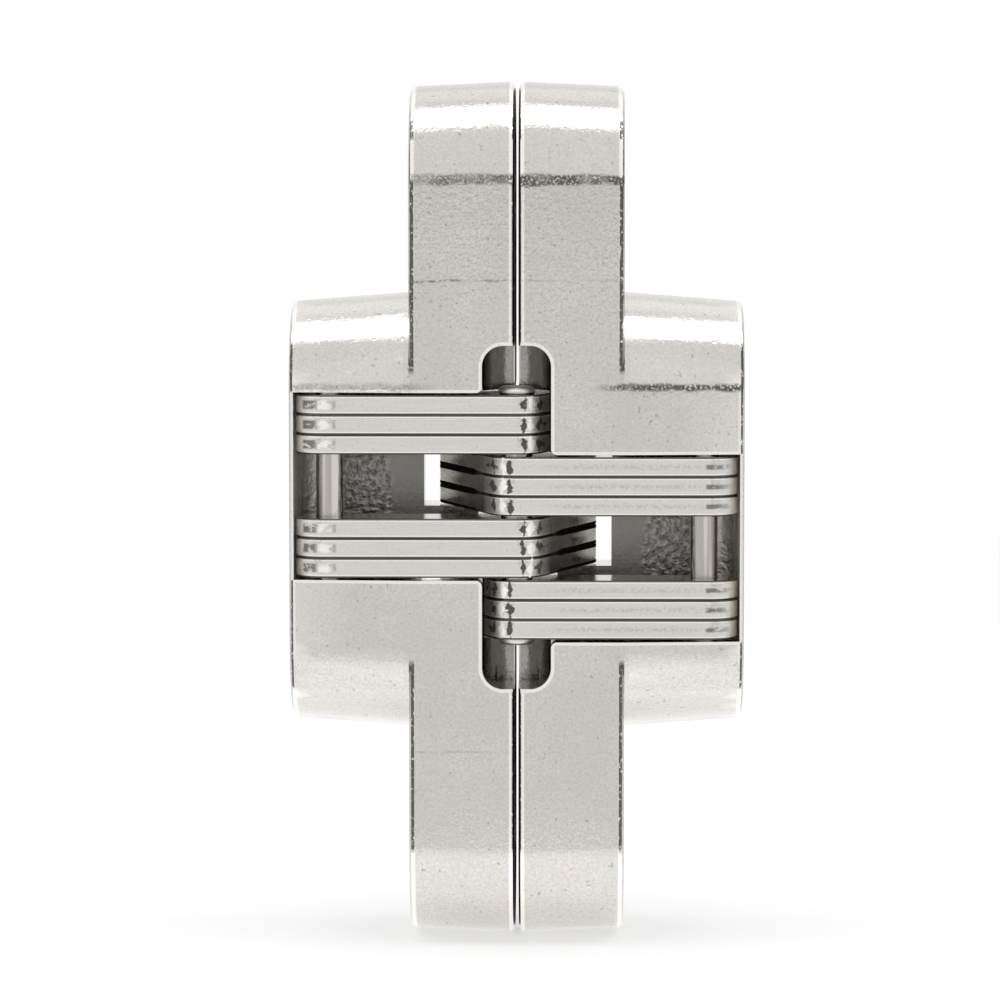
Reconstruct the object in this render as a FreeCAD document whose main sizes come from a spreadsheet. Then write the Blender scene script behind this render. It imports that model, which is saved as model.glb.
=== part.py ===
import FreeCAD, Part
import math
import os

import Sketcher

# Concealed door hinge, closed, in millimetres.
# X is the depth into the door (right) and the frame (left), Y is the leaf's width,
# Z is the leaf's length. The origin is midway between the leaf faces.

doc = FreeCAD.newDocument("concealed_hinge")
sheet = doc.addObject("Spreadsheet::Sheet", "sizes")

SIZES = [
    # leaf castings
    ("leaf_length", 70.0, "overall length of a leaf"),
    ("leaf_width", 15.9, "width of a leaf, and diameter of its round ends"),
    ("leaf_gap", 0.3, "gap between the two leaf faces when closed"),
    ("ear_depth", 8.55, "leaf face to the back of the screw ears"),
    ("ear_draft_drop", 0.35, "how much lower an ear end is at its back edge"),
    ("body_depth", 18.25, "leaf face to the back of the deep body"),
    ("body_length", 35.7, "length of the deep body at the back of the ears"),
    ("body_draft", 0.7, "how far the deep body draws in all round at its back"),
    ("edge_round", 0.55, "rounding of the casting's outer edges"),
    ("back_wall", 0.35, "wall behind the link pocket"),
    ("far_wall", 4.95, "thickness of the wall across the pocket from its open side"),
    ("pocket_corner", 2.4, "inside corner radius of the link pocket"),
    ("pocket_play", 0.1, "play between the outermost plate and the pocket wall"),
    ("swing_depth", 7.6, "leaf face to the end of the short arms' swing opening"),
    ("swing_start", 2.9, "open side of the leaf to the covered short arm's chamber"),
    ("notch_length", 27.8, "length of the notch for the centre pin"),
    ("notch_depth", 2.63, "depth of the centre pin's notch in the leaf face"),
    ("notch_reach", 4.8, "open side of the leaf to the deepest line of the notch"),
    ("notch_corner", 1.7, "corner radius of the notch"),
    ("window_corner", 0.5, "radius where the pocket's edge turns into the notch"),
    ("track_depth", 1.7, "depth of a slider track in the pocket's end wall"),
    ("track_play", 0.1, "side play of a slider pin in its track"),
    ("screw_hole", 4.2, "diameter of a screw hole"),
    ("screw_head", 8.2, "diameter of a screw's countersink at the leaf face"),
    ("screw_cone", 2.3, "depth of the countersink"),
    ("screw_spacing", 54.1, "distance between the two screw holes of a leaf"),
    # link plates
    ("plate_thickness", 1.6, "thickness of one link plate"),
    ("stack_gap", 0.2, "gap between neighbouring stacks of plates"),
    ("arm_half_width", 2.3, "half width of a link arm, and its end radius"),
    ("plate_recess", 0.3, "open side of a leaf to the plates' edges"),
    ("elbow_round", 2.6, "inside radius at a link's elbow"),
    ("pin_fit", 0.03, "radial running clearance of a pin in a plate"),
    # pivot places
    ("pivot_depth", 4.2, "mid plane to the fixed pivot, closed"),
    ("pivot_setback", 2.75, "far side of a leaf to the fixed pivot"),
    ("slider_inset", 3.2, "back of the body to the slider pin, closed"),
    ("slider_setback", 3.15, "open side of a leaf to the slider pin, closed"),
    ("arm_end_play", 0.15, "end of the long arm to the pocket's back, closed"),
    # pins
    ("pivot_pin", 2.3, "diameter of a fixed pivot pin"),
    ("pivot_pin_seat", 2.4, "how far a fixed pivot pin enters the casting beyond the plates"),
    ("slider_pin", 2.2, "diameter of a slider pin"),
    ("centre_pin", 2.5, "diameter of the centre pin"),
    ("head_diameter", 3.0, "diameter of the centre pin's peened heads"),
    ("head_height", 0.6, "height of a peened head"),
    ("head_bevel", 0.25, "broken edge of a peened head"),
    # motion
    ("pivot_turn", 112.0, "degrees a link turns in its fixed pivot when the door opens 180"),
    ("arm_play", 0.25, "play between a swung arm and the casting"),
]


def write_sizes(rows, first_row):
    for row, (alias, number, note) in enumerate(rows, start=first_row):
        sheet.set(f"A{row}", note)
        sheet.set(f"B{row}", str(number))
        sheet.setAlias(f"B{row}", alias)
    doc.recompute()


def size(alias):
    return float(sheet.get(alias))


write_sizes(SIZES, 1)
half_gap = size("leaf_gap") / 2
half_width = size("leaf_width") / 2
body_back = half_gap + size("body_depth")
PLACES = [
    ("pivot_side", half_width - size("pivot_setback"), "leaf's centre line to the fixed pivot"),
    ("centre_side", half_width - size("plate_recess") - size("arm_half_width"),
     "leaf's centre line to the centre pin, closed"),
    ("slider_depth", body_back - size("slider_inset"), "mid plane to the slider pin, closed"),
    ("slider_side", half_width - size("slider_setback"), "leaf's centre line to the slider pin"),
    ("arm_end_depth", body_back - size("back_wall") - size("arm_end_play") - size("arm_half_width"),
     "mid plane to the centre of the long arm's round end, closed"),
]
write_sizes(PLACES, len(SIZES) + 1)

PLATES_IN_STACK = 3
HALF_GAP = "sizes.leaf_gap / 2"
PITCH = f"({PLATES_IN_STACK} * sizes.plate_thickness + sizes.stack_gap)"
OPEN_SIDE = "sizes.leaf_width / 2"
OVERCUT = 1.0
TURNED_OVER = FreeCAD.Placement(FreeCAD.Vector(), FreeCAD.Rotation(FreeCAD.Vector(0, 1, 0), 180))

pitch = PLATES_IN_STACK * size("plate_thickness") + size("stack_gap")


def bind(obj, **expressions):
    for name, expression in expressions.items():
        obj.setExpression(name.replace("__", "."), expression)
    return obj


def place(obj, x="0", y="0", z="0"):
    bind(obj, Placement__Base__x=x, Placement__Base__y=y, Placement__Base__z=z)
    return obj


def box(name, x, y, z, length, width, height):
    """A block from its low corner, every size an expression."""
    block = doc.addObject("Part::Box", name)
    bind(block, Length=length, Width=width, Height=height)
    return place(block, x, y, z)


def rod(name, x, y, z, radius, height):
    """A round bar along Z from its lower end."""
    bar = doc.addObject("Part::Cylinder", name)
    bind(bar, Radius=radius, Height=height)
    return place(bar, x, y, z)


def rounded(name, base, edges, radius_alias):
    """Rounds the edges whose numbers are given."""
    doc.recompute()
    fillet = doc.addObject("Part::Fillet", name)
    fillet.Base = base
    radius = size(radius_alias)
    fillet.Edges = [(number, radius, radius) for number in edges]
    return fillet


def edges_where(obj, wanted):
    doc.recompute()
    return [n for n, edge in enumerate(obj.Shape.Edges, start=1) if wanted(edge)]


def union(name, shapes):
    fused = doc.addObject("Part::MultiFuse", name)
    fused.Shapes = shapes
    fused.Refine = True
    return fused


def prism(name, points, low, high):
    """A straight-sided solid over a closed outline in the XY plane."""
    corners = [FreeCAD.Vector(x, y, low) for x, y in points]
    face = Part.Face(Part.makePolygon(corners + corners[:1]))
    solid = doc.addObject("Part::Feature", name)
    solid.Shape = face.extrude(FreeCAD.Vector(0, 0, high - low))
    return solid


# Motion of the linkage, seen from the left leaf, for an opening share from 0 to 1

PIVOT = FreeCAD.Vector(-size("pivot_depth"), size("pivot_side"), 0)
CENTRE = FreeCAD.Vector(0, -size("centre_side"), 0)
SLIDER = FreeCAD.Vector(-size("slider_depth"), -size("slider_side"), 0)
PIVOT_TURN = size("pivot_turn")
DOOR_TURN = 180.0


def turned(vector, degrees):
    return FreeCAD.Rotation(FreeCAD.Vector(0, 0, 1), degrees).multVec(vector)


def centre_at(share):
    return PIVOT + turned(CENTRE - PIVOT, PIVOT_TURN * share)


def slider_at(share):
    return centre_at(share) + turned(SLIDER - CENTRE, (DOOR_TURN - PIVOT_TURN) * share)


# Link plates

def slot_sketch(body, name, ends, radius_alias):
    """An arm's outline: a line and a half circle on each side, between two named centres.

    ends holds two pairs of coordinates, each a pair of a sign and an alias, or None for 0.
    """
    plane = next(f for f in body.Origin.OriginFeatures if f.Role == "XY_Plane")
    sketch = body.newObject("Sketcher::SketchObject", name)
    sketch.AttachmentSupport = [(plane, "")]
    sketch.MapMode = "FlatFace"
    radius = size(radius_alias)
    centres = [
        FreeCAD.Vector(*[0 if part is None else part[0] * size(part[1]) for part in end], 0)
        for end in ends
    ]
    along = (centres[1] - centres[0]).normalize()
    side = FreeCAD.Vector(-along.y, along.x, 0) * radius
    base = math.atan2(along.y, along.x)
    quarter = math.pi / 2
    up = FreeCAD.Vector(0, 0, 1)
    first = Part.ArcOfCircle(Part.Circle(centres[0], up, radius), base + quarter, base + 3 * quarter)
    last = Part.ArcOfCircle(Part.Circle(centres[1], up, radius), base - quarter, base + quarter)
    sketch.addGeometry(first, False)
    sketch.addGeometry(Part.LineSegment(centres[0] - side, centres[1] - side), False)
    sketch.addGeometry(last, False)
    sketch.addGeometry(Part.LineSegment(centres[1] + side, centres[0] + side), False)
    for geometry in range(4):
        following = (geometry + 1) % 4
        sketch.addConstraint(Sketcher.Constraint("Tangent", geometry, 2, following, 1))
    sketch.addConstraint(Sketcher.Constraint("Equal", 0, 2))
    datum(sketch, Sketcher.Constraint("Radius", 0, radius), "radius", f"sizes.{radius_alias}")
    for arc, end in ((0, ends[0]), (2, ends[1])):
        pin_centre(sketch, arc, end)
    return sketch


def datum(sketch, constraint, name, expression):
    index = sketch.addConstraint(constraint)
    sketch.renameConstraint(index, name)
    sketch.setExpression(f"Constraints.{name}", expression)


def pin_centre(sketch, geometry, end):
    """Holds a circle's centre at coordinates given as a sign and an alias."""
    for letter, axis, part in (("X", -2, end[0]), ("Y", -1, end[1])):
        if part is None:
            sketch.addConstraint(Sketcher.Constraint("PointOnObject", geometry, 3, axis))
            continue
        sign, alias = part
        points = (-1, 1, geometry, 3) if sign > 0 else (geometry, 3, -1, 1)
        rule = Sketcher.Constraint(f"Distance{letter}", *points, size(alias))
        datum(sketch, rule, f"{alias}_{letter}{geometry}", f"sizes.{alias}")


def holes_sketch(body, name, holes):
    plane = next(f for f in body.Origin.OriginFeatures if f.Role == "XY_Plane")
    sketch = body.newObject("Sketcher::SketchObject", name)
    sketch.AttachmentSupport = [(plane, "")]
    sketch.MapMode = "FlatFace"
    for number, (end, pin_alias) in enumerate(holes):
        centre = FreeCAD.Vector(*[0 if part is None else part[0] * size(part[1]) for part in end], 0)
        radius = size(pin_alias) / 2 + size("pin_fit")
        circle = Part.Circle(centre, FreeCAD.Vector(0, 0, 1), radius)
        sketch.addGeometry(circle, False)
        rule = Sketcher.Constraint("Radius", number, radius)
        datum(sketch, rule, f"{pin_alias}_hole", f"sizes.{pin_alias} / 2 + sizes.pin_fit")
        pin_centre(sketch, number, end)
    return sketch


CENTRE_PLACE = (None, (-1, "centre_side"))
ARM_END_PLACE = ((-1, "arm_end_depth"), (-1, "centre_side"))
SLIDER_PLACE = ((-1, "slider_depth"), (-1, "slider_side"))
FIXED_PLACE = ((1, "pivot_depth"), (1, "pivot_side"))


def link_plate(name, height_expression, turned_over):
    """One stamped plate: long arm to the slider, elbow at the centre pin, short arm to the pivot."""
    body = doc.addObject("PartDesign::Body", name)
    body.Label = name
    if turned_over:
        body.Placement = TURNED_OVER
    long_arm = body.newObject("PartDesign::Pad", f"{name}_long_arm")
    long_arm.Profile = slot_sketch(
        body, f"{name}_long_outline", (CENTRE_PLACE, ARM_END_PLACE), "arm_half_width")
    bind(long_arm, Length="sizes.plate_thickness")
    short_arm = body.newObject("PartDesign::Pad", f"{name}_short_arm")
    short_arm.Profile = slot_sketch(
        body, f"{name}_short_outline", (CENTRE_PLACE, FIXED_PLACE), "arm_half_width")
    bind(short_arm, Length="sizes.plate_thickness")
    doc.recompute()
    elbow = next(n for n, edge in enumerate(short_arm.Shape.Edges, start=1) if is_elbow(edge))
    inside = body.newObject("PartDesign::Fillet", f"{name}_elbow")
    inside.Base = (short_arm, [f"Edge{elbow}"])
    bind(inside, Radius="sizes.elbow_round")
    holes = body.newObject("PartDesign::Pocket", f"{name}_holes")
    holes.Profile = holes_sketch(body, f"{name}_hole_centres", (
        (CENTRE_PLACE, "centre_pin"), (SLIDER_PLACE, "slider_pin"), (FIXED_PLACE, "pivot_pin")))
    holes.Type = "ThroughAll"
    holes.Reversed = True
    body.Tip = holes
    bind(body, Placement__Base__z=height_expression)
    return body


def is_elbow(edge):
    """The upright edge where the two arms meet on the hollow side of the elbow."""
    reach = size("arm_half_width")
    upright = edge.BoundBox.ZLength > 0.5 * size("plate_thickness")
    above = edge.BoundBox.YMin - CENTRE.y
    return upright and 0.9 * reach < above < 2 * reach and abs(edge.BoundBox.XMin) < reach


def stack(names, lowest_level, turned_over):
    """Three plates face to face; a level is one stack's pitch."""
    for number, name in enumerate(names):
        level = f"({lowest_level} * {PITCH} + sizes.stack_gap / 2 + {number} * sizes.plate_thickness)"
        link_plate(name, f"-{level}" if turned_over else level, turned_over)


LEFT_UPPER = [f"left_link_upper_plate_{n}" for n in (1, 2, 3)]
LEFT_LOWER = [f"left_link_lower_plate_{n}" for n in (1, 2, 3)]
RIGHT_UPPER = [f"right_link_upper_plate_{n}" for n in (1, 2, 3)]
RIGHT_LOWER = [f"right_link_lower_plate_{n}" for n in (1, 2, 3)]
stack(LEFT_UPPER, 1, False)
stack(LEFT_LOWER, -1, False)
stack(RIGHT_UPPER, -1, True)
stack(RIGHT_LOWER, 1, True)

# Leaf castings

def end_outline(name, x, length, inset="0"):
    """A leaf's outline at a depth: two straight sides and two round ends."""
    sketch = doc.addObject("Sketcher::SketchObject", name)
    sketch.Placement = FreeCAD.Placement(
        FreeCAD.Vector(), FreeCAD.Rotation(FreeCAD.Vector(1, 1, 1), 120))
    radius = half_width
    reach = radius
    up = FreeCAD.Vector(0, 0, 1)
    top = FreeCAD.Vector(0, reach, 0)
    side = FreeCAD.Vector(radius, 0, 0)
    sketch.addGeometry(Part.ArcOfCircle(Part.Circle(top, up, radius), 0, math.pi), False)
    sketch.addGeometry(Part.LineSegment(top - side, -top - side), False)
    sketch.addGeometry(Part.ArcOfCircle(Part.Circle(-top, up, radius), math.pi, 2 * math.pi), False)
    sketch.addGeometry(Part.LineSegment(-top + side, top + side), False)
    for geometry in range(4):
        following = (geometry + 1) % 4
        sketch.addConstraint(Sketcher.Constraint("Tangent", geometry, 2, following, 1))
    sketch.addConstraint(Sketcher.Constraint("Equal", 0, 2))
    sketch.addConstraint(Sketcher.Constraint("PointOnObject", 0, 3, -2))
    sketch.addConstraint(Sketcher.Constraint("Symmetric", 0, 3, 2, 3, -1, 1))
    rule = Sketcher.Constraint("Radius", 0, radius)
    datum(sketch, rule, "end_radius", f"{OPEN_SIDE} - {inset}")
    rule = Sketcher.Constraint("DistanceY", 2, 3, 0, 3, 2 * reach)
    datum(sketch, rule, "centres", f"{length} - sizes.leaf_width")
    bind(sketch, Placement__Base__x=x)
    return sketch


def lofted(name, outlines):
    loft = doc.addObject("Part::Loft", name)
    loft.Sections = outlines
    loft.Solid = True
    loft.Ruled = True
    return loft


EAR_BACK = f"({HALF_GAP} + sizes.ear_depth)"
BODY_BACK = f"({HALF_GAP} + sizes.body_depth)"
EASED = "(sizes.edge_round * (1 - sqrt(2) / 2))"
# an edge's rounding in two steps: how far the outline draws in, and how far that is from the face
RIM = [("sizes.edge_round", "0"), (EASED, EASED), ("0", "sizes.edge_round")]


TRACK_STEPS = 12


def track(name, low, high):
    """The curved groove that a slider pin runs in, about the pin's own path."""
    half = size("slider_pin") / 2 + size("track_play")
    shares = [number / TRACK_STEPS for number in range(TRACK_STEPS + 1)]
    path = [slider_at(share) for share in shares]
    step = 1e-3
    sides = []
    for sign in (1, -1):
        points = []
        for share, point in zip(shares, path):
            ahead = slider_at(share + step) - slider_at(share - step)
            across = FreeCAD.Vector(-ahead.y, ahead.x, 0).normalize() * (sign * half)
            points.append(point + across)
        sides.append(points)
    ends = []
    for point, away in ((path[0], slider_at(-step) - path[0]), (path[-1], slider_at(1 + step) - path[-1])):
        ends.append(point + away.normalize() * half)
    curves = []
    for points in sides:
        for n in range(0, TRACK_STEPS, 2):
            curves.append(Part.Arc(*points[n:n + 3]).toShape())
    curves.append(Part.Arc(sides[0][0], ends[0], sides[1][0]).toShape())
    curves.append(Part.Arc(sides[0][-1], ends[1], sides[1][-1]).toShape())
    wire = Part.Wire(Part.__sortEdges__(curves))
    groove = doc.addObject("Part::Feature", name)
    solid = Part.Face(wire).extrude(FreeCAD.Vector(0, 0, high - low))
    solid.translate(FreeCAD.Vector(0, 0, low))
    groove.Shape = solid
    return groove


def swung_arm(name, low, high):
    """Room for the long arm where it leaves the pocket with the door wide open."""
    centre = centre_at(1)
    slider = slider_at(1)
    along = (centre - slider).normalize()
    across = FreeCAD.Vector(along.y, -along.x, 0)
    if across.x > 0:
        across = across * -1
    reach = size("arm_half_width") + size("arm_play")
    inner = half_width - size("far_wall")
    edge = slider + across * reach

    def at_side(side):
        return edge.x + along.x * (side - edge.y) / along.y

    outer = half_width + OVERCUT
    points = [
        (OVERCUT, inner - OVERCUT), (at_side(inner - OVERCUT), inner - OVERCUT),
        (at_side(outer), outer), (OVERCUT, outer)]
    return prism(name, points, low, high)


def eased_corner(name, level, sign):
    """Takes the sharp corner off where the pocket's end edge, at a level, runs into the notch."""
    radius = "sizes.window_corner"
    edge = f"-(sizes.notch_depth + {HALF_GAP} + {radius})"
    reach = f"sizes.notch_reach + {OVERCUT} - sizes.notch_depth - {HALF_GAP}"
    low = level if sign > 0 else f"{level} - {radius}"
    block = box(f"{name}_block", edge, f"-({OPEN_SIDE} + {OVERCUT})", low, radius, reach, radius)
    bar = doc.addObject("Part::Cylinder", f"{name}_bar")
    bar.Placement = FreeCAD.Placement(
        FreeCAD.Vector(), FreeCAD.Rotation(FreeCAD.Vector(1, 0, 0), -90))
    bind(bar, Radius=radius, Height=f"{reach} + 2 * {OVERCUT}")
    place(bar, edge, f"-({OPEN_SIDE} + 2 * {OVERCUT})", f"{level} + {sign} * {radius}")
    corner = doc.addObject("Part::Cut", name)
    corner.Base = block
    corner.Tool = bar
    return corner


def leaf(name, turned_over):
    """One casting: two screw ears, a deep body, the link pocket, tracks, bores and screw holes."""
    face_rim = [
        end_outline(f"{name}_face_outline_{n}", f"-({HALF_GAP} + {away})", "sizes.leaf_length", inset)
        for n, (inset, away) in enumerate(RIM, start=1)
    ]
    ear_rim = [
        end_outline(f"{name}_ear_outline_{n}", f"-({EAR_BACK} - {away})",
                    "(sizes.leaf_length - 2 * sizes.ear_draft_drop)", inset)
        for n, (inset, away) in enumerate(reversed(RIM), start=1)
    ]
    back_rim = [
        end_outline(f"{name}_back_outline_{n}", f"-({BODY_BACK} - {away})",
                    "sizes.body_length", f"(sizes.body_draft + {inset})")
        for n, (inset, away) in enumerate(reversed(RIM), start=1)
    ]
    root = [
        end_outline(f"{name}_root_outline", f"-({EAR_BACK} / 2)", "sizes.body_length"),
        end_outline(f"{name}_step_outline", f"-{EAR_BACK}", "sizes.body_length"),
    ]
    casting = union(f"{name}_blank", [
        lofted(f"{name}_ear_plate", face_rim + ear_rim),
        lofted(f"{name}_deep_body", root + back_rim)])

    low_end = f"-({PITCH} + sizes.pocket_play)"
    high_end = f"(2 * {PITCH} + sizes.pocket_play)"
    low = -(pitch + size("pocket_play"))
    high = 2 * pitch + size("pocket_play")
    pocket_box = box(
        f"{name}_pocket_box",
        f"-({BODY_BACK} - sizes.back_wall)",
        f"-({OPEN_SIDE} + {OVERCUT})",
        low_end,
        f"{BODY_BACK} - sizes.back_wall + {OVERCUT}",
        f"sizes.leaf_width + {OVERCUT} - sizes.far_wall",
        f"{high_end} - ({low_end})")
    inside_back = size("back_wall") - body_back
    corner = edges_where(pocket_box, lambda edge: edge.BoundBox.ZLength > 1 and edge.BoundBox.XMax
                         < inside_back + 1e-4 and edge.BoundBox.YMin > 0)
    pocket = rounded(f"{name}_pocket", pocket_box, corner, "pocket_corner")
    swing = box(
        f"{name}_swing_opening",
        f"-(sizes.swing_depth + {HALF_GAP})",
        f"-({OPEN_SIDE} - sizes.swing_start)",
        "0",
        f"sizes.swing_depth + {HALF_GAP} + {OVERCUT}",
        f"sizes.leaf_width + {OVERCUT} - sizes.swing_start",
        PITCH)
    chamber = box(
        f"{name}_covered_chamber",
        f"-(sizes.swing_depth + {HALF_GAP})",
        f"-({OPEN_SIDE} - sizes.swing_start)",
        f"-(2 * {PITCH} + sizes.pocket_play)",
        f"sizes.swing_depth + {HALF_GAP} + {OVERCUT}",
        f"sizes.leaf_width + {OVERCUT} - sizes.swing_start",
        f"{PITCH} + sizes.pocket_play")
    upper_room = swung_arm(f"{name}_upper_arm_room", pitch, high)
    lower_room = swung_arm(f"{name}_lower_arm_room", low, 0)
    notch_block = box(
        f"{name}_notch_block",
        f"-(sizes.notch_depth + {HALF_GAP})",
        f"-({OPEN_SIDE} + {OVERCUT})",
        "-(sizes.notch_length / 2)",
        f"2 * (sizes.notch_depth + {HALF_GAP})",
        "sizes.leaf_width",
        "sizes.notch_length")
    ends = edges_where(notch_block, lambda edge: edge.BoundBox.YLength > 1)
    notch_front = rounded(f"{name}_notch_front", notch_block, ends, "notch_corner")
    notch_radius = f"(sizes.notch_depth + {HALF_GAP})"
    notch_plan = union(f"{name}_notch_plan", [
        box(
            f"{name}_notch_mouth",
            f"-{notch_radius}",
            f"-({OPEN_SIDE} + {OVERCUT})",
            "-(sizes.notch_length / 2)",
            f"2 * {notch_radius}",
            f"sizes.notch_reach + {OVERCUT} - {notch_radius}",
            "sizes.notch_length"),
        rod(
            f"{name}_notch_round",
            "0", f"sizes.notch_reach - {OPEN_SIDE} - {notch_radius}", "-(sizes.notch_length / 2)",
            notch_radius,
            "sizes.notch_length")])
    notch = doc.addObject("Part::Common", f"{name}_notch")
    notch.Base = notch_front
    notch.Tool = notch_plan
    upper_track = track(f"{name}_upper_track", high - 0.01, high + size("track_depth"))
    lower_track = track(f"{name}_lower_track", low - size("track_depth"), low + 0.01)
    bore = rod(
        f"{name}_pivot_bore",
        "-sizes.pivot_depth", "sizes.pivot_side", f"-(2 * {PITCH} + sizes.pivot_pin_seat)",
        "sizes.pivot_pin / 2 + 0.01", f"3 * {PITCH} + 2 * sizes.pivot_pin_seat")
    cutters = [pocket, swing, chamber, upper_room, lower_room, notch, upper_track, lower_track, bore]
    cutters.append(eased_corner(f"{name}_upper_corner", high_end, 1))
    cutters.append(eased_corner(f"{name}_lower_corner", low_end, -1))
    for end, sign in (("upper", ""), ("lower", "-")):
        height = f"{sign}sizes.screw_spacing / 2"
        hole = rod(f"{name}_{end}_screw_hole", f"-({HALF_GAP} + sizes.ear_depth + {OVERCUT})", "0",
                   height, "sizes.screw_hole / 2", f"sizes.ear_depth + 2 * {OVERCUT}")
        hole.Placement = FreeCAD.Placement(
            FreeCAD.Vector(), FreeCAD.Rotation(FreeCAD.Vector(0, 1, 0), 90))
        place(hole, f"-({HALF_GAP} + sizes.ear_depth + {OVERCUT})", "0", height)
        cone = doc.addObject("Part::Cone", f"{name}_{end}_countersink")
        cone.Placement = FreeCAD.Placement(
            FreeCAD.Vector(), FreeCAD.Rotation(FreeCAD.Vector(0, 1, 0), 90))
        bind(cone, Radius1="sizes.screw_hole / 2", Radius2="sizes.screw_head / 2", Height="sizes.screw_cone")
        place(cone, f"-({HALF_GAP} + sizes.screw_cone)", "0", height)
        cutters += [hole, cone]
    tools = union(f"{name}_cutters", cutters)
    finished = doc.addObject("Part::Cut", name)
    finished.Base = casting
    finished.Tool = tools
    finished.Refine = True
    finished.Label = name
    if turned_over:
        finished.Placement = TURNED_OVER
    return finished


leaf("left_leaf", False)
leaf("right_leaf", True)

# Pins

def pin(name, x, y, low, high, diameter, turned_over):
    """A round pin between two heights, with the right leaf's pins turned over with it."""
    bar = doc.addObject("Part::Cylinder", name)
    bar.Label = name
    bind(bar, Radius=f"{diameter} / 2", Height=f"({high}) - ({low})")
    if turned_over:
        bar.Placement = TURNED_OVER
        return place(bar, f"-({x})", y, f"-({low})")
    return place(bar, x, y, low)


SLIDER_LOW = f"-({PITCH} + sizes.pocket_play + sizes.track_depth - sizes.track_play)"
SLIDER_HIGH = f"2 * {PITCH} + sizes.pocket_play + sizes.track_depth - sizes.track_play"
PIVOT_LOW = f"-(2 * {PITCH} + sizes.pivot_pin_seat)"
PIVOT_HIGH = f"{PITCH} + sizes.pivot_pin_seat"
for side, over in (("left", False), ("right", True)):
    pin(f"{side}_slider_pin", "-sizes.slider_depth", "-sizes.slider_side",
        SLIDER_LOW, SLIDER_HIGH, "sizes.slider_pin", over)
    pin(f"{side}_pivot_pin", "-sizes.pivot_depth", "sizes.pivot_side",
        PIVOT_LOW, PIVOT_HIGH, "sizes.pivot_pin", over)


def centre_pin():
    """The riveted pin through all four stacks, with a low peened head at each end."""
    shank_end = f"(2 * {PITCH} - sizes.stack_gap / 2)"
    shank = rod("centre_pin_shank", "0", "-sizes.centre_side", f"-{shank_end}",
                "sizes.centre_pin / 2", f"2 * {shank_end}")
    rim = "(sizes.head_height - sizes.head_bevel)"
    pieces_of_pin = [shank]
    for end, turn in (("upper", 0), ("lower", 180)):
        sign = "-" if turn else ""
        head = doc.addObject("Part::Cylinder", f"centre_pin_{end}_head")
        bevel = doc.addObject("Part::Cone", f"centre_pin_{end}_bevel")
        for piece in (head, bevel):
            piece.Placement = FreeCAD.Placement(
                FreeCAD.Vector(), FreeCAD.Rotation(FreeCAD.Vector(1, 0, 0), turn))
        bind(head, Radius="sizes.head_diameter / 2", Height=rim)
        place(head, "0", "-sizes.centre_side", f"{sign}{shank_end}")
        bind(bevel, Radius1="sizes.head_diameter / 2",
             Radius2="sizes.head_diameter / 2 - sizes.head_bevel", Height="sizes.head_bevel")
        place(bevel, "0", "-sizes.centre_side", f"{sign}({shank_end} + {rim})")
        pieces_of_pin += [head, bevel]
    whole = union("centre_pin", pieces_of_pin)
    whole.Label = "centre_pin"
    return whole


centre_pin()

NODES = (
    ["left_leaf", "right_leaf"]
    + LEFT_UPPER + LEFT_LOWER + RIGHT_UPPER + RIGHT_LOWER
    + ["left_slider_pin", "right_slider_pin", "left_pivot_pin", "right_pivot_pin", "centre_pin"]
)

doc.recompute()
failed = [obj.Name for obj in doc.Objects if "Invalid" in obj.State or "Error" in obj.State]
if failed:
    raise RuntimeError(f"objects that failed: {failed}")
pieces = {name: doc.getObjectsByLabel(name)[0] for name in NODES}
for name, piece in pieces.items():
    shape = piece.Shape
    if shape.isNull() or not shape.isValid() or len(shape.Solids) != 1:
        raise RuntimeError(f"{name} is not one valid solid")

os.makedirs("parts", exist_ok=True)
for name, piece in pieces.items():
    piece.Shape.exportStep(f"parts/{name}.step")
    bounds = piece.Shape.BoundBox
    print(f"{name}: {piece.Shape.Volume:.1f} mm3, "
          f"X {bounds.XMin:.2f} {bounds.XMax:.2f}, Y {bounds.YMin:.2f} {bounds.YMax:.2f}, "
          f"Z {bounds.ZMin:.2f} {bounds.ZMax:.2f}")
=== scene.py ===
import bpy
import math
from mathutils import Euler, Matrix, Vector


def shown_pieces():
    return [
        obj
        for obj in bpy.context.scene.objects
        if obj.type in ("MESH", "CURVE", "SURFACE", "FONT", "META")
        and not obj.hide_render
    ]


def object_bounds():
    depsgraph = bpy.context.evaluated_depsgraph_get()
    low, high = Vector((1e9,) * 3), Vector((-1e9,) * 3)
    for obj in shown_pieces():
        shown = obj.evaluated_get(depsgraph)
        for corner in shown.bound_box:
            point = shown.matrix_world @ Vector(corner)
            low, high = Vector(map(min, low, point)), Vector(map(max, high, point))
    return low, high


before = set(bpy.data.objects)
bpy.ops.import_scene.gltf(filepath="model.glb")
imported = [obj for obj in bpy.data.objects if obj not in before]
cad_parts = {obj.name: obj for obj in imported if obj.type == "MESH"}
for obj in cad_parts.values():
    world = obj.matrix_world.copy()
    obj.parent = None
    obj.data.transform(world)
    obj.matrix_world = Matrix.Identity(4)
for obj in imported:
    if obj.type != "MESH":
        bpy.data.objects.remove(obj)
size_at_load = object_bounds()

MM = 0.001
SKIN = (0.635, 0.615, 0.58)
STEEL = (0.70, 0.68, 0.65)
PIN_STEEL = (0.47, 0.45, 0.43)

# the backs of a leaf's ears and of its body, by their depth from the middle
EAR_BACK = 8.70 * MM
BODY_BACK = 18.40 * MM

# where the round ends of the ears and of the body begin, and the casting's seam, up and down
EAR_ROUND = 27.2 * MM
BODY_ROUND = 10.55 * MM
SEAM = 19.1 * MM

# heights of the plates, in metres: one plate, the gap between stacks, and a stack's pitch
PLATE = 1.6 * MM
STACK_GAP = 0.2 * MM
STACK_PITCH = 3 * PLATE + STACK_GAP

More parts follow.
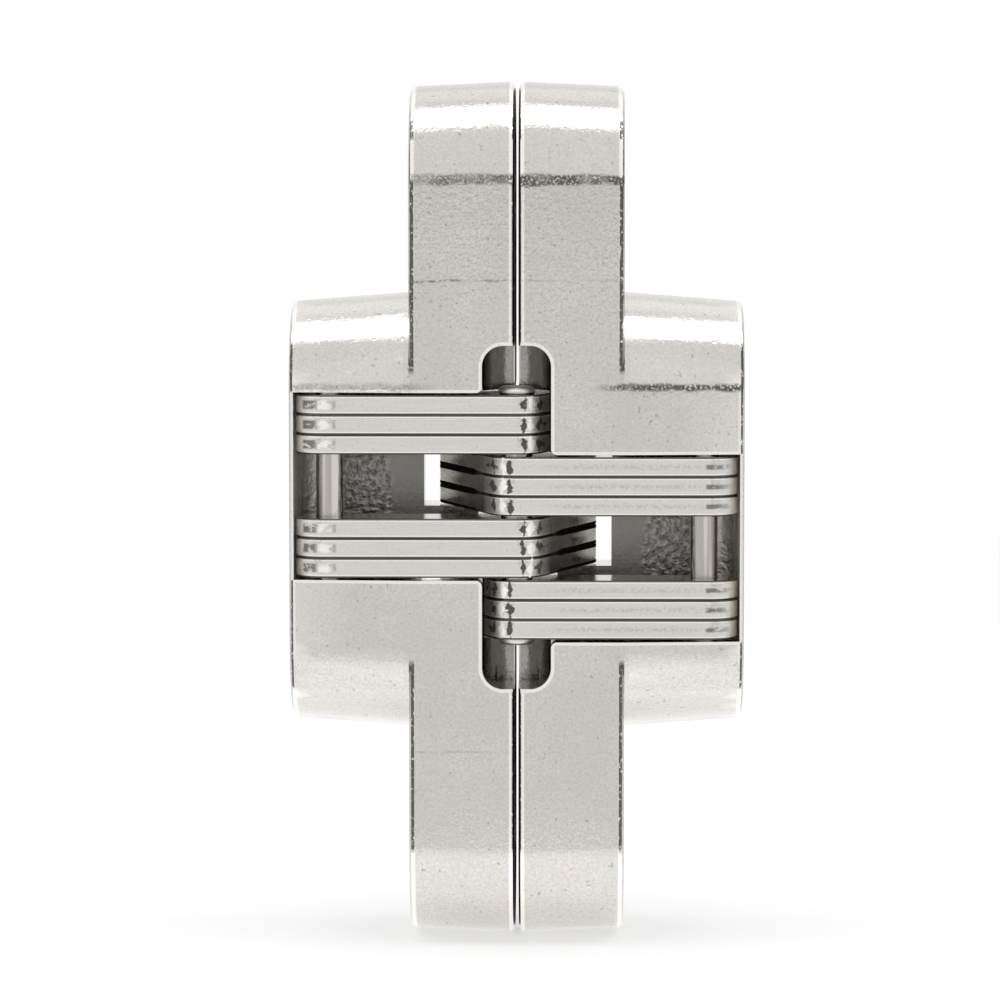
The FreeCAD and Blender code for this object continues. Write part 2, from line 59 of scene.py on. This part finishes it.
# a painted reflection on a knuckle: how far round, half its width there, half its height, tone and
# strength
KNUCKLE_REFLECTIONS = [
    (0.25, 0.14, 0.75 * MM, 0.10, 0.95),
    (0.50, 0.16, 0.70 * MM, 1.42, 1.0),
    (0.80, 0.12, 0.60 * MM, 0.15, 0.85),
]

# the left leaf's pocket along its length; the right leaf is turned over
POCKET_TOP = 10.1 * MM
POCKET_FOOT = -5.1 * MM

# how far up and down the centre pin's peened heads start
PIN_HEADS = 9.95 * MM

# the centre pin's notch, half its width and length, and its corner radius
NOTCH_HALF_WIDTH = 2.78 * MM
NOTCH_HALF_LENGTH = 13.9 * MM
NOTCH_CORNER = 1.7 * MM


class Shade:
    """A node tree with short ways to add, join and place its nodes."""

    def __init__(self, tree):
        self.tree = tree
        tree.nodes.clear()

    def node(self, kind, **settings):
        made = self.tree.nodes.new(kind)
        for name, value in settings.items():
            setattr(made, name, value)
        return made

    def put(self, value, socket):
        """Joins a node's output to a socket, or sets the socket to a number or a colour."""
        if isinstance(value, bpy.types.NodeSocket):
            self.tree.links.new(value, socket)
        else:
            socket.default_value = value

    def math(self, operation, first, second=0.0):
        made = self.node("ShaderNodeMath", operation=operation)
        self.put(first, made.inputs[0])
        self.put(second, made.inputs[1])
        return made.outputs[0]

    def ramp(self, value, low, high, to_low=0.0, to_high=1.0, smooth=False):
        made = self.node("ShaderNodeMapRange")
        if smooth:
            made.interpolation_type = "SMOOTHSTEP"
        self.put(value, made.inputs["Value"])
        limits = {"From Min": low, "From Max": high, "To Min": to_low, "To Max": to_high}
        for name, number in limits.items():
            self.put(number, made.inputs[name])
        return made.outputs["Result"]

    def noise(self, coords, size, detail=3.0, stretch=(1.0, 1.0, 1.0)):
        """Noise with grains of about the size given, longer along an axis with a stretch over 1."""
        mapping = self.node("ShaderNodeMapping")
        self.put(coords, mapping.inputs["Vector"])
        self.put(tuple(1.0 / (size * s) for s in stretch), mapping.inputs["Scale"])
        made = self.node("ShaderNodeTexNoise")
        self.put(mapping.outputs[0], made.inputs["Vector"])
        self.put(1.0, made.inputs["Scale"])
        self.put(detail, made.inputs["Detail"])
        return made.outputs["Fac"]

    def mix(self, share, first, second):
        """Mixes two colours; a mix node's colour sockets are 6 and 7, and 2 is its colour output."""
        made = self.node("ShaderNodeMix", data_type="RGBA")
        self.put(share, made.inputs[0])
        self.put(first, made.inputs[6])
        self.put(second, made.inputs[7])
        return made.outputs[2]

    def band(self, value, middle, half_width, soft):
        """1 within a half width of the middle and 0 outside it."""
        away = self.math("ABSOLUTE", self.math("SUBTRACT", value, middle))
        return self.ramp(away, half_width, half_width + soft, 1.0, 0.0, smooth=True)

    def outside(self, across, along, half_width, half_length, corner):
        """How far a place is outside a rounded rectangle; at most 0 within it."""
        away = [self.math("MAXIMUM", self.math("SUBTRACT", place, half - corner), 0.0)
                for place, half in ((across, half_width), (along, half_length))]
        squares = [self.math("POWER", side, 2.0) for side in away]
        return self.math("SUBTRACT", self.math("SQRT", self.math("ADD", *squares)), corner)

    def both(self, first, *others):
        for other in others:
            first = self.math("MULTIPLY", first, other)
        return first

    def bump(self, height, depth, strength=1.0, before=None):
        made = self.node("ShaderNodeBump")
        self.put(strength, made.inputs["Strength"])
        self.put(depth, made.inputs["Distance"])
        self.put(height, made.inputs["Height"])
        if before is not None:
            self.put(before, made.inputs["Normal"])
        return made.outputs["Normal"]


def shaded(name):
    material = bpy.data.materials.new(name)
    material.use_nodes = True
    return material, Shade(material.node_tree)


def tinted(colour, level):
    return tuple(min(1.0, c * level) for c in colour) + (1.0,)


def place_parts(shade):
    coords = shade.node("ShaderNodeTexCoord").outputs["Object"]
    parts = shade.node("ShaderNodeSeparateXYZ")
    shade.put(coords, parts.inputs[0])
    return coords, parts.outputs["X"], parts.outputs["Y"], parts.outputs["Z"]


def metal_output(shade, colour, roughness, normal):
    shader = shade.node("ShaderNodeBsdfPrincipled")
    shade.put(1.0, shader.inputs["Metallic"])
    shade.put(colour, shader.inputs["Base Color"])
    shade.put(roughness, shader.inputs["Roughness"])
    shade.put(normal, shader.inputs["Normal"])
    out = shade.node("ShaderNodeOutputMaterial")
    shade.put(shader.outputs[0], out.inputs["Surface"])


def facing(shade, axis, kind="True Normal"):
    """How much a surface faces along an axis, 0 to 1, whichever way."""
    parts = shade.node("ShaderNodeSeparateXYZ")
    shade.put(shade.node("ShaderNodeNewGeometry").outputs[kind], parts.inputs[0])
    return shade.math("ABSOLUTE", parts.outputs[axis])


def casting_metal():
    """Plated die casting: pebbled skin, rims with painted highlights, edges and round starts with
    painted shade, a rough pocket partly painted shade and light, and a notch darkened as painted
    shade.
    """
    material, shade = shaded("casting")
    coords, x, y, z = place_parts(shade)
    depth = shade.math("ABSOLUTE", x)
    height = shade.math("ABSOLUTE", z)
    turned_over = shade.math("MULTIPLY", shade.math("SIGN", x), -1.0)
    leaf_height = shade.math("MULTIPLY", z, turned_over)
    grain = shade.noise(coords, 0.22 * MM, 2.0)
    pebble = shade.noise(coords, 0.5 * MM, 3.0)
    cloud = shade.noise(coords, 5.0 * MM, 3.0)
    crumbs = shade.ramp(shade.noise(coords, 0.26 * MM, 3.0, stretch=(1.6, 1.0, 1.0)), 0.38, 0.60)
    front = shade.ramp(y, -7.2 * MM, -6.8 * MM, 1.0, 0.0)

    tone = shade.mix(shade.ramp(grain, 0.35, 0.65), tinted(SKIN, 0.91), tinted(SKIN, 1.06))
    tone = shade.mix(shade.both(shade.ramp(cloud, 0.35, 0.7), 0.5), tone, tinted(SKIN, 0.93))
    pits = shade.ramp(shade.noise(coords, 0.42 * MM, 1.0), 0.69, 0.75)
    tone = shade.mix(shade.both(pits, 0.45), tone, tinted(SKIN, 0.35))

    # painted highlights on the rims: on the turn between a flat and a side, beside the leaf faces and
    # round the notch
    turn = facing(shade, "X", "Normal")
    ends = shade.ramp(height, 14.0 * MM, 14.3 * MM)
    past_notch = shade.math("SUBTRACT", 1.0, shade.band(depth, 0.0, 2.95 * MM, 0.05 * MM))
    past_ear = shade.math("SUBTRACT", 1.0, shade.band(depth, 8.4 * MM, 0.7 * MM, 0.1 * MM))
    rim_highlight = shade.both(shade.ramp(turn, 0.06, 0.2), shade.ramp(turn, 0.5, 0.7, 1.0, 0.0),
                      shade.math("MAXIMUM", ends, shade.both(front, past_notch, past_ear)))
    beside_face = shade.both(shade.band(depth, 0.49 * MM, 0.11 * MM, 0.05 * MM), ends,
                             shade.ramp(turn, 0.3, 0.5, 1.0, 0.0))
    from_notch = shade.outside(depth, height, NOTCH_HALF_WIDTH, NOTCH_HALF_LENGTH, NOTCH_CORNER)
    round_notch = shade.both(shade.band(from_notch, 0.16 * MM, 0.11 * MM, 0.03 * MM), front)
    rim_highlight = shade.math("MAXIMUM", rim_highlight, shade.math("MAXIMUM", beside_face, round_notch))

    # painted highlights on the edges of the pocket's mouth
    mouth_highlight = shade.math("ADD", shade.band(leaf_height, POCKET_TOP + 0.08 * MM, 0.14 * MM, 0.05 * MM),
                       shade.band(leaf_height, POCKET_FOOT - 0.08 * MM, 0.14 * MM, 0.05 * MM))
    mouth_highlight = shade.both(mouth_highlight, shade.ramp(y, -7.1 * MM, -7.0 * MM, 1.0, 0.0),
                       shade.ramp(depth, BODY_BACK - 0.4 * MM, BODY_BACK - 0.3 * MM, 1.0, 0.0))
    rim_highlight = shade.math("MAXIMUM", rim_highlight, mouth_highlight)
    tone = shade.mix(shade.both(rim_highlight, 0.85), tone, tinted(SKIN, 1.45))

    in_window = shade.both(shade.ramp(leaf_height, POCKET_FOOT - 0.1 * MM, POCKET_FOOT),
                           shade.ramp(leaf_height, POCKET_TOP, POCKET_TOP + 0.1 * MM, 1.0, 0.0))

    # painted shade: dark crumbly lines at the back edges and where an end's round begins
    straight = shade.ramp(height, 26.9 * MM, 27.4 * MM, 1.0, 0.0)
    ear_line_shade = shade.both(
        shade.math("ADD", shade.band(depth, EAR_BACK - 0.20 * MM, 0.19 * MM, 0.06 * MM),
                   shade.both(shade.band(depth, 0.26 * MM, 0.11 * MM, 0.03 * MM), ends)),
        shade.ramp(height, 11.5 * MM, 12.0 * MM),
        shade.math("ADD", straight, shade.ramp(z, 30.3 * MM, 30.6 * MM)))
    dark_edge_shade = shade.math("ADD", ear_line_shade,
                           shade.both(shade.band(depth, BODY_BACK - 0.14 * MM, 0.14 * MM, 0.06 * MM),
                                      shade.math("SUBTRACT", 1.0, in_window)))
    patchy = shade.noise(coords, 2.6 * MM, 2.0)
    uneven = shade.math("ADD", height, shade.both(shade.math("SUBTRACT", patchy, 0.5), 0.9 * MM))
    round_start_shade = shade.math("ADD",
                                shade.both(shade.band(uneven, EAR_ROUND, 0.26 * MM, 0.3 * MM),
                                           shade.ramp(x, -8.5 * MM, -3.0 * MM, 0.6, 1.0)),
                                shade.both(shade.band(uneven, BODY_ROUND, 0.12 * MM, 0.3 * MM),
                                           shade.ramp(depth, 6.0 * MM, 8.5 * MM),
                                           shade.ramp(x, -8.0 * MM, 8.0 * MM, 0.35, 1.0)))
    round_start_shade = shade.both(round_start_shade, shade.ramp(z, 0.0, 1.0 * MM),
                                shade.ramp(patchy, 0.3, 0.5, 0.5, 1.0))
    dense = shade.ramp(shade.noise(coords, 0.22 * MM, 3.0), 0.38, 0.50)
    close = shade.ramp(shade.noise(coords, 0.30 * MM, 3.0), 0.30, 0.44)
    dark_edge_shade = shade.both(dark_edge_shade, shade.ramp(y, -5.9 * MM, -5.7 * MM, 1.0, 0.0),
                           shade.ramp(turn, 0.9, 0.97, 1.0, 0.0))
    tone = shade.mix(shade.both(dark_edge_shade, close, 0.95), tone, tinted(SKIN, 0.13))
    tone = shade.mix(shade.both(round_start_shade, dense, front, 0.95), tone, tinted(SKIN, 0.16))

    # the pocket's back wall, rough and darker, partly a raw cast skin and partly painted shade, with
    # painted light near its back end; the thin wall behind it has a painted highlight
    inside = shade.both(
        in_window, shade.ramp(y, -4.2 * MM, -4.0 * MM), shade.ramp(y, 3.1 * MM, 3.3 * MM, 1.0, 0.0),
        shade.ramp(depth, 6.0 * MM, 7.2 * MM), shade.ramp(depth, 17.6 * MM, 17.9 * MM, 1.0, 0.0))
    frayed = shade.math("ADD", depth, shade.both(shade.math("SUBTRACT", cloud, 0.5), 2.0 * MM))
    rough_part = shade.ramp(frayed, 10.2 * MM, 10.9 * MM, smooth=True)
    raw_and_shade = shade.mix(shade.ramp(pebble, 0.38, 0.62), tinted(SKIN, 0.34), tinted(SKIN, 0.80))
    raw_and_shade = shade.mix(rough_part, tinted(SKIN, 0.48), raw_and_shade)
    # painted light: the back wall lighter near the pocket's back end
    raw_and_shade = shade.mix(shade.ramp(depth, 16.2 * MM, 16.5 * MM), raw_and_shade, tinted(SKIN, 1.2))
    tone = shade.mix(inside, tone, raw_and_shade)
    # painted highlight: the thin wall's inner face lit bright
    thin_wall = shade.both(in_window, shade.band(depth, BODY_BACK - 0.4 * MM, 0.15 * MM, 0.05 * MM),
                           shade.ramp(turn, 0.9, 0.97))
    tone = shade.mix(thin_wall, tone, tinted(SKIN, 1.5))

    # the notch darkened as painted shade, and the leaf face darker and duller
    in_notch = shade.both(
        shade.ramp(from_notch, 0.01 * MM, 0.03 * MM, 1.0, 0.0), shade.ramp(depth, 0.2 * MM, 0.3 * MM),
        shade.ramp(y, -7.8 * MM, -7.7 * MM), shade.ramp(y, -3.0 * MM, -2.8 * MM, 1.0, 0.0),
        shade.ramp(pebble, 0.3, 0.7, 0.95, 0.75))
    tone = shade.mix(in_notch, tone, tinted(SKIN, 0.42))
    leaf_face = shade.ramp(depth, 0.16 * MM, 0.2 * MM, 1.0, 0.0)
    tone = shade.mix(leaf_face, tone, tinted(SKIN, 0.8))

    rough = shade.ramp(cloud, 0.3, 0.7, 0.12, 0.18)
    rough = shade.math("ADD", rough, shade.both(inside, 0.25))
    rough = shade.math("ADD", rough, shade.both(leaf_face, 0.35))
    rough = shade.math("ADD", rough, shade.both(thin_wall, 0.3))

    # the seam across the ears, plainest on the left leaf's upper ear
    wobble = shade.both(shade.math("SUBTRACT", cloud, 0.5), 0.5 * MM)
    wavering = shade.math("ABSOLUTE", shade.math("ADD", z, wobble))
    seam = shade.both(
        shade.band(wavering, SEAM, 0.07 * MM, 0.07 * MM),
        shade.ramp(depth, EAR_BACK, EAR_BACK + 0.2 * MM, 1.0, 0.0),
        crumbs, shade.ramp(patchy, 0.42, 0.5, 0.3, 1.0),
        shade.ramp(z, -1.0 * MM, 1.0 * MM, 0.3, 1.0), shade.ramp(x, -1.0 * MM, 1.0 * MM, 0.9, 0.3))
    tone = shade.mix(seam, tone, tinted(SKIN, 0.35))
    normal = shade.bump(grain, 0.012 * MM)
    normal = shade.bump(pebble, 0.018 * MM, before=normal)
    raw_height = shade.both(shade.ramp(pebble, 0.3, 0.7), inside, rough_part)
    normal = shade.bump(raw_height, 0.05 * MM, before=normal)
    metal_output(shade, tone, rough, normal)
    return material


def plate_metal():
    """Stamped steel plate: plain cut edges with painted highlights and painted shade at their
    corners, scuffs and painted reflections near the long ends.
    """
    material, shade = shaded("plate_steel")
    coords, x, y, z = place_parts(shade)
    depth = shade.math("ABSOLUTE", x)
    streak = shade.noise(coords, 0.2 * MM, 3.0, stretch=(14.0, 4.0, 1.0))
    grain = shade.noise(coords, 0.22 * MM, 2.0)
    tone = shade.mix(shade.ramp(streak, 0.3, 0.7), tinted(STEEL, 0.95), tinted(STEEL, 1.03))
    speckle = shade.ramp(grain, 0.6, 0.72)
    tone = shade.mix(shade.both(speckle, 0.25), tone, tinted(STEEL, 0.6))
    # painted shade: the plates darker deeper in the pocket
    deep = shade.ramp(y, -4.5 * MM, -2.5 * MM)
    tone = shade.mix(shade.both(deep, 0.3), tone, tinted(STEEL, 0.4))
    # painted light: the long ends brighter
    tip = shade.ramp(depth, 16.6 * MM, 17.4 * MM)
    tone = shade.mix(tip, tone, tinted(STEEL, 1.35))

    # cut edges with a painted highlight beside the painted shade of the dark lines between the plates
    in_stack = shade.math("FLOORED_MODULO", shade.math("SUBTRACT", z, STACK_GAP / 2), STACK_PITCH)
    in_plate = shade.math("FLOORED_MODULO", in_stack, PLATE)
    from_middle = shade.math("ABSOLUTE", shade.math("SUBTRACT", in_plate, PLATE / 2))
    cut_edge = shade.ramp(facing(shade, "Z"), 0.85, 0.97, 1.0, 0.0)
    rim_highlight = shade.both(cut_edge, shade.band(from_middle, PLATE / 2 - 0.19 * MM, 0.04 * MM, 0.03 * MM))
    tone = shade.mix(shade.both(rim_highlight, 0.8), tone, tinted(STEEL, 1.3))
    line = shade.math("ADD", from_middle, shade.both(deep, 0.15 * MM))
    # painted shade: dark lines at the plates' corners, darker deeper in the pocket
    corner = shade.both(cut_edge, shade.ramp(line, PLATE / 2 - 0.15 * MM, PLATE / 2 - 0.11 * MM))
    corner_share = shade.ramp(deep, 0.0, 1.0, 0.88, 0.99)
    tone = shade.mix(shade.both(corner, corner_share), tone, tinted(STEEL, 0.03))
    # painted shade: faces that face up or down are darker
    tone = shade.mix(shade.ramp(facing(shade, "Z"), 0.97, 0.99, 0.0, 0.6), tone, tinted(STEEL, 0.4))

    # near the long ends: dark marks, painted dark reflections on the left ones and partly scuffs,
    # partly painted dark reflection on the right ones; a painted highlight between the left ones and
    # a smear along the right arms
    blot = shade.noise(coords, 0.4 * MM, 2.0, stretch=(2.2, 1.0, 1.0))
    left_dark_reflection = shade.math("ADD", shade.band(x, -16.65 * MM, 0.5 * MM, 0.2 * MM),
                            shade.both(shade.band(x, -14.9 * MM, 0.2 * MM, 0.2 * MM), 0.7))
    right_scuff_and_reflection = shade.both(shade.ramp(x, 15.2 * MM, 15.4 * MM),
                             shade.ramp(x, 16.2 * MM, 17.6 * MM, 1.0, 0.0))
    wide = shade.ramp(x, -1.0 * MM, 1.0 * MM, 0.42 * MM, 0.26 * MM)
    scuff_and_reflection = shade.both(
        shade.math("MAXIMUM", left_dark_reflection, right_scuff_and_reflection),
        shade.ramp(shade.math("SUBTRACT", from_middle, wide), -0.14 * MM, 0.0, 1.0, 0.0),
        cut_edge, shade.ramp(blot, 0.36, 0.50))
    tone = shade.mix(shade.both(scuff_and_reflection, 0.85), tone, tinted(STEEL, 0.2))
    left_highlight = shade.both(shade.band(x, -15.5 * MM, 0.35 * MM, 0.6 * MM), cut_edge,
                       shade.ramp(from_middle, 0.3 * MM, 0.45 * MM, 1.0, 0.0),
                       shade.ramp(blot, 0.42, 0.52))
    tone = shade.mix(shade.both(left_highlight, 0.75), tone, tinted(STEEL, 1.4))
    smear = shade.both(shade.band(x, 9.0 * MM, 4.0 * MM, 4.0 * MM), cut_edge,
                       shade.ramp(from_middle, 0.05 * MM, 0.3 * MM, 1.0, 0.0),
                       shade.ramp(grain, 0.35, 0.6))
    tone = shade.mix(shade.both(smear, 0.35), tone, tinted(STEEL, 0.45))

    # painted reflections on the knuckle at the elbow: a bright mark between two dark ones
    turn = facing(shade, "X", "Normal")
    knuckle = shade.both(shade.ramp(depth, 2.5 * MM, 2.7 * MM, 1.0, 0.0),
                         shade.ramp(y, -5.4 * MM, -5.2 * MM, 1.0, 0.0), cut_edge)
    waver = shade.ramp(shade.noise(coords, 1.1 * MM, 1.0), 0.3, 0.7, -0.06, 0.06)
    place = shade.math("ADD", turn, waver)
    for middle, half, tall, level, share in KNUCKLE_REFLECTIONS:
        aside = shade.math("ABSOLUTE", shade.math("SUBTRACT", place, middle))
        away = shade.math("ADD", shade.math("DIVIDE", aside, half),
                          shade.math("DIVIDE", from_middle, tall))
        ragged = shade.math("ADD", away, shade.ramp(blot, 0.3, 0.7, -0.45, 0.45))
        knuckle_reflection = shade.both(knuckle, shade.ramp(ragged, 0.75, 1.1, 1.0, 0.0))
        tone = shade.mix(shade.both(knuckle_reflection, share), tone, tinted(STEEL, level))

    # the rounded ends are rougher than the flats
    rough = shade.ramp(streak, 0.3, 0.7, 0.14, 0.2)
    elbow = shade.both(shade.ramp(depth, 2.5 * MM, 3.2 * MM, 1.0, 0.0),
                       shade.ramp(y, -5.6 * MM, -4.4 * MM, 1.0, 0.0))
    rounded = shade.math("MAXIMUM", elbow, shade.ramp(depth, 15.6 * MM, 15.8 * MM))
    rough = shade.math("ADD", rough, shade.both(rounded, cut_edge, shade.ramp(turn, 0.35, 0.6), 0.4))
    rough = shade.math("ADD", rough, shade.both(corner, deep, 0.7))
    normal = shade.bump(streak, 0.006 * MM)
    normal = shade.bump(grain, 0.010 * MM, before=normal)
    metal_output(shade, tone, rough, normal)
    return material


def pin_metal():
    """Drawn steel pin with fine marks along it, brighter streaks that are partly a painted highlight,
    and heads brightened as a painted highlight.
    """
    material, shade = shaded("pin_steel")
    coords, _, _, z = place_parts(shade)
    streak = shade.noise(coords, 0.12 * MM, 3.0, stretch=(1.0, 1.0, 20.0))
    stripe_and_sheen = shade.noise(coords, 0.55 * MM, 1.0, stretch=(1.0, 1.0, 30.0))
    tone = shade.mix(shade.ramp(streak, 0.3, 0.7), tinted(PIN_STEEL, 0.9), tinted(PIN_STEEL, 1.05))
    # brighter streaks along the pin, partly marks and partly a painted highlight
    stripe_and_sheen = shade.both(shade.ramp(stripe_and_sheen, 0.4, 0.62, smooth=True), 0.8)
    tone = shade.mix(stripe_and_sheen, tone, tinted(PIN_STEEL, 1.55))
    # painted highlight: the heads brighter
    head = shade.ramp(shade.math("ABSOLUTE", z), PIN_HEADS, PIN_HEADS + 0.1 * MM)
    tone = shade.mix(head, tone, tinted(PIN_STEEL, 1.9))
    rough = shade.ramp(streak, 0.3, 0.7, 0.14, 0.24)
    rough = shade.math("ADD", rough, shade.both(head, 0.3))
    metal_output(shade, tone, rough, shade.bump(streak, 0.01 * MM))
    return material


def dress(node, finish, edge):
    """Gives a CAD node its finish and a small broken edge."""
    node.data.materials.clear()
    node.data.materials.append(finish)
    weld = node.modifiers.new("weld", "WELD")
    weld.merge_threshold = 1e-6
    flat = node.modifiers.new("flat", "DECIMATE")
    flat.decimate_type = "DISSOLVE"
    flat.angle_limit = math.radians(0.5)
    bevel = node.modifiers.new("edge", "BEVEL")
    bevel.width = edge
    bevel.segments = 3
    bevel.limit_method = "ANGLE"
    bevel.angle_limit = math.radians(35.0)
    normals = node.modifiers.new("normals", "WEIGHTED_NORMAL")
    normals.weight = 100
    for polygon in node.data.polygons:
        polygon.use_smooth = True


FINISHES = {
    "leaf": (casting_metal(), 0.20 * MM),
    "pin": (pin_metal(), 0.15 * MM),
    "plate": (plate_metal(), 0.14 * MM),
}
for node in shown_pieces():
    kind = next(key for key in FINISHES if node.name.endswith(key) or f"_{key}_" in node.name)
    dress(node, *FINISHES[kind])


# studio

DIRECT_RAYS = ("Is Camera Ray", "Is Glossy Ray", "Is Transmission Ray")
UPRIGHT = math.pi / 2


def staged(name, location, size, rotation=(0.0, 0.0, 0.0)):
    bpy.ops.mesh.primitive_plane_add(size=1.0, location=location, rotation=rotation)
    plane = bpy.context.object
    plane.scale = (size[0], size[1], 1.0)
    plane.name = name
    return plane


def seen_share(shade, *rays):
    """1 for the kinds of ray that are named and 0 for the others."""
    path = shade.node("ShaderNodeLightPath")
    share = path.outputs[rays[0]]
    for ray in rays[1:]:
        share = shade.math("MAXIMUM", share, path.outputs[ray])
    return share


def mixed_surface(shade, share, first, second):
    """Gives a material's surface as two shaders mixed by a share."""
    mixed = shade.node("ShaderNodeMixShader")
    for number, value in enumerate((share, first.outputs[0], second.outputs[0])):
        shade.put(value, mixed.inputs[number])
    out = shade.node("ShaderNodeOutputMaterial")
    shade.put(mixed.outputs[0], out.inputs["Surface"])


# the floor: a white glow far off, and near the hinge a pale matt that takes its shadow
low = size_at_load[0].z
floor = staged("floor", (0.0, 0.0, low), (8.0, 8.0))
material, shade = shaded("floor")
spread = shade.node("ShaderNodeVectorMath", operation="LENGTH")
shade.put(shade.node("ShaderNodeNewGeometry").outputs["Position"], spread.inputs[0])
far = shade.ramp(spread.outputs["Value"], 0.06, 0.35, 0.55, 1.0, smooth=True)
in_metal = shade.node("ShaderNodeLightPath").outputs["Is Glossy Ray"]
near = shade.ramp(spread.outputs["Value"], 0.04, 0.07, 0.5, 0.0, smooth=True)
diffuse = shade.node("ShaderNodeBsdfDiffuse")
shade.put((0.95, 0.95, 0.95, 1.0), diffuse.inputs["Color"])
glow = shade.node("ShaderNodeEmission")
shade.put(shade.math("ADD", 1.0, shade.both(near, in_metal)), glow.inputs["Strength"])
mixed_surface(shade, shade.both(far, seen_share(shade, *DIRECT_RAYS)), diffuse, glow)
floor.data.materials.append(material)


def flag(name, place, size, rotation, level):
    """A card that only the metal mirrors: every other ray passes through it."""
    card = staged(name, place, size, rotation)
    material, shade = shaded(name)
    glow = shade.node("ShaderNodeEmission")
    shade.put(level, glow.inputs["Strength"])
    clear = shade.node("ShaderNodeBsdfTransparent")
    mixed_surface(shade, seen_share(shade, "Is Glossy Ray"), clear, glow)
    card.data.materials.append(material)


flag("low_flag", (0.0, -1.3, 0.085), (3.4, 0.05), (UPRIGHT, 0.0, 0.0), 0.10)
flag("floor_card", (0.0, -0.70, low + 0.5 * MM), (1.6, 1.3), (0.0, 0.0, 0.0), 0.95)
for side in (-1, 1):
    flag(f"side_flag_{side}", (side * 0.6, 0.45, 0.2), (1.1, 0.5), (UPRIGHT, 0.0, UPRIGHT), 0.05)

# the world: white where it is seen or mirrored, a little dimmer where it only lights
world = bpy.data.worlds.new("studio")
bpy.context.scene.world = world
world.use_nodes = True
shade = Shade(world.node_tree)
back = shade.node("ShaderNodeBackground")
shade.put((1.0, 1.0, 1.0, 1.0), back.inputs["Color"])
seen = seen_share(shade, *DIRECT_RAYS)
shade.put(shade.ramp(seen, 0.0, 1.0, 0.8, 1.0), back.inputs["Strength"])
out = shade.node("ShaderNodeOutputWorld")
shade.put(back.outputs[0], out.inputs["Surface"])


def lamp(name, place, target, width, height, radiance):
    """A soft box whose brightness, where metal mirrors it, is the radiance."""
    data = bpy.data.lights.new(name, "AREA")
    data.shape = "RECTANGLE"
    data.size = width
    data.size_y = height
    data.energy = radiance * math.pi * width * height
    box = bpy.data.objects.new(name, data)
    box.location = place
    box.rotation_euler = (Vector(target) - Vector(place)).to_track_quat("-Z", "Y").to_euler()
    bpy.context.scene.collection.objects.link(box)


lamp("overhead", (0.0, -0.06, 0.6), (0.0, 0.0, 0.0), 1.2, 0.3, 2.0)
lamp("back_top", (0.0, 0.42, 0.62), (0.0, 0.0, 0.0), 1.2, 0.35, 0.18)

# camera
distance = 0.42
elevation = math.radians(5.3)
azimuth = math.radians(0.6)
data = bpy.data.cameras.new("camera")
data.sensor_width = 36.0
data.lens = 184.0
data.shift_x = -0.0175
data.shift_y = 0.009
camera = bpy.data.objects.new("camera", data)
camera.location = distance * Vector((
    math.cos(elevation) * math.sin(azimuth),
    -math.cos(elevation) * math.cos(azimuth),
    math.sin(elevation)))
camera.rotation_euler = Euler((UPRIGHT - elevation, 0.0, azimuth))
bpy.context.scene.collection.objects.link(camera)
bpy.context.scene.camera = camera
bpy.context.scene.view_settings.view_transform = "Standard"
